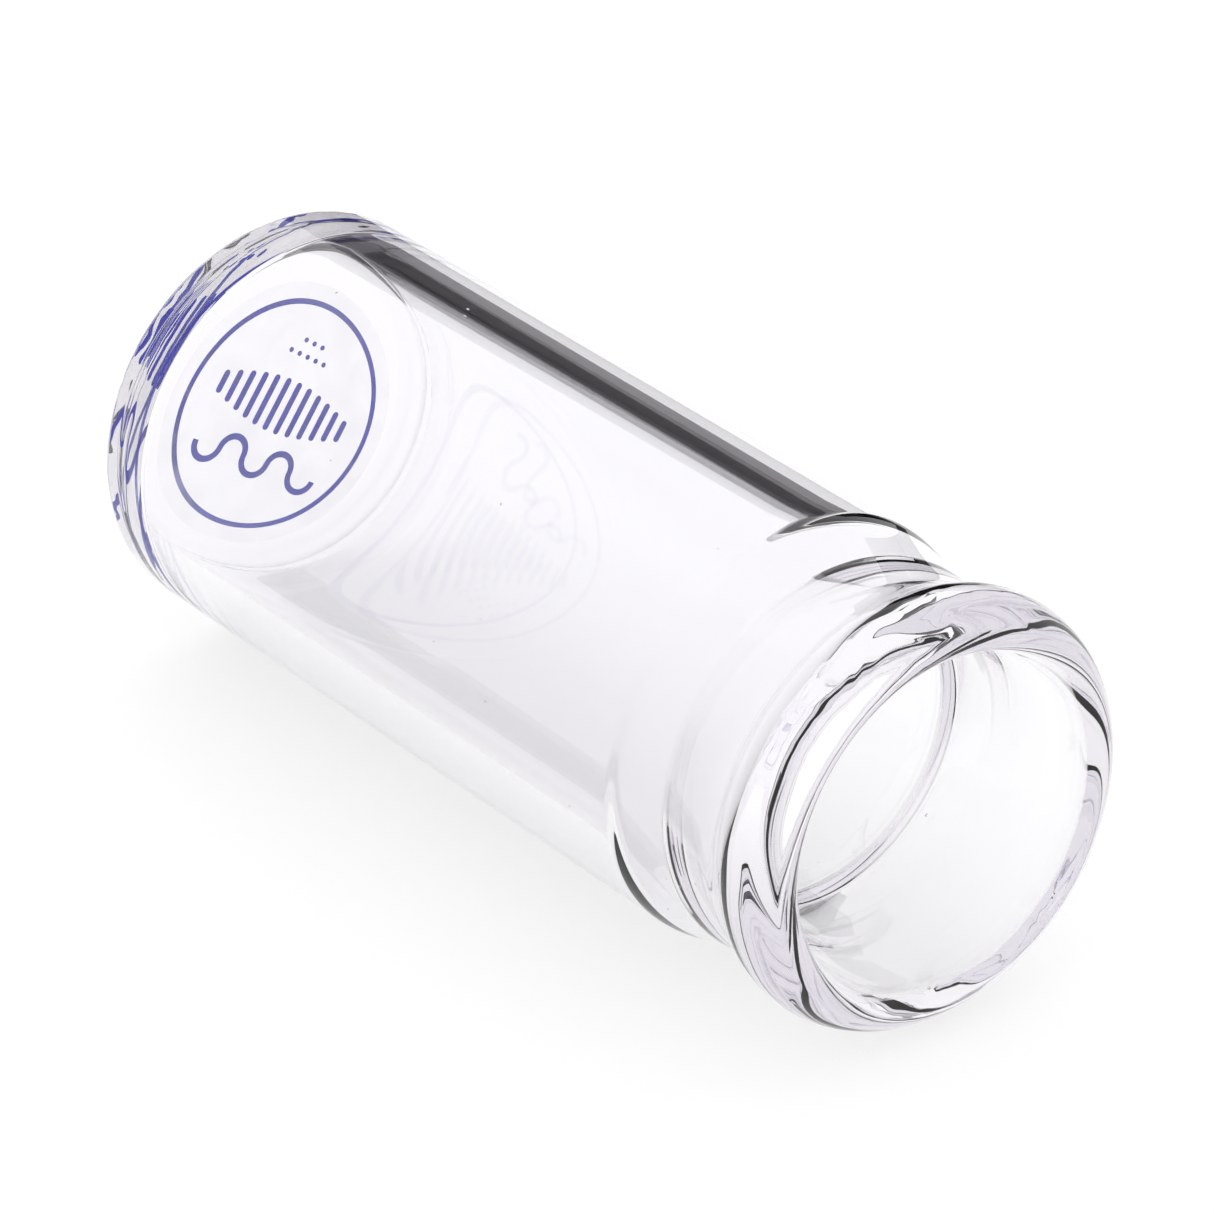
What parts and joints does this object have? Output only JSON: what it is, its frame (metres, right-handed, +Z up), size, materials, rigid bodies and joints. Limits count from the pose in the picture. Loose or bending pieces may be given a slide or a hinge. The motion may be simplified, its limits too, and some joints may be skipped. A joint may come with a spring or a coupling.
{
  "type": "guitar slide",
  "caption": "Clear heavy-wall glass bottleneck slide, closed at the base and open at a rolled lip, with a round clear sticker on its base.",
  "frame": {"origin": "on the surface the slide lies on, under the middle of its length", "axes": "+X along the slide's axis, from the closed base to the open mouth; +Z up with the slide lying on its side"},
  "size_m": [0.0696, 0.0288, 0.0288],
  "materials": {
    "glass": "clear, glossy, fire polished",
    "film": "clear, smooth",
    "ink": "thin printed ink"
  },
  "bodies": {
    "root": {"glass_bottle": "glass", "label_film": "film", "label_print": "ink"}
  },
  "joints": []
}
